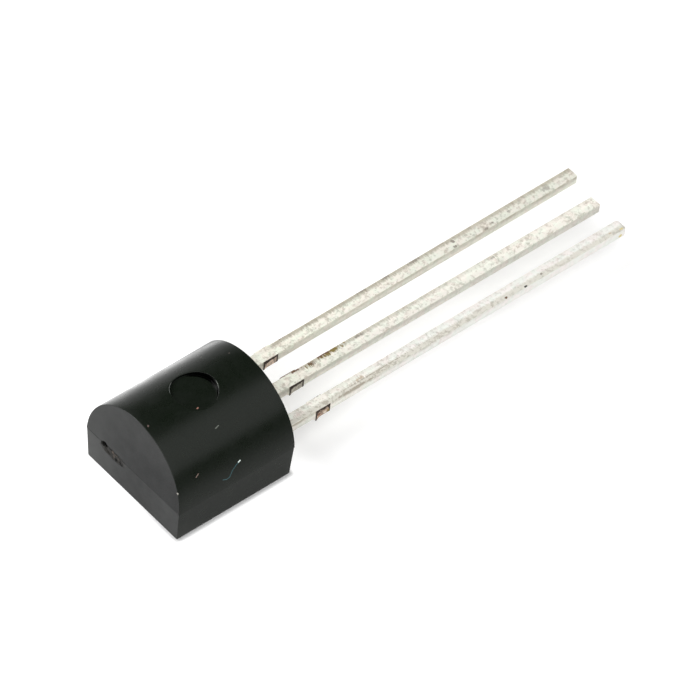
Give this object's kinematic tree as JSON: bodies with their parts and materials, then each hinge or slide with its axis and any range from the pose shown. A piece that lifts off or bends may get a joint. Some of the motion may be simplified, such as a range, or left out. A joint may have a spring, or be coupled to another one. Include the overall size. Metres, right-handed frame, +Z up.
{
  "type": "voltage regulator",
  "caption": "Small linear voltage regulator: a D-shaped black moulded body with long, straight, tinned leads side by side at one end.",
  "frame": {"origin": "centre of the flat side, on which the part lies", "axes": "+X along the leads, from the body to their tips; +Z up, out of the round side; +Y across, towards the output lead"},
  "size_m": [0.0192, 0.0046, 0.0035],
  "materials": {
    "epoxy": "black moulding compound, satin on the round side and dull on the end faces",
    "tinned_lead": "bright tin plate, mottled, bare copper alloy on the sheared stubs",
    "silicon": "polished silicon",
    "die_bond": "matte silver-filled resin",
    "gold_wire": "bright gold"
  },
  "bodies": {
    "root": {"moulded_body": "epoxy", "lead_output": "tinned_lead", "lead_ground": "tinned_lead", "lead_input": "tinned_lead", "silicon_die": "silicon", "die_attach": "die_bond", "output_wire": "gold_wire", "input_wire": "gold_wire", "ground_wire": "gold_wire"}
  },
  "joints": []
}
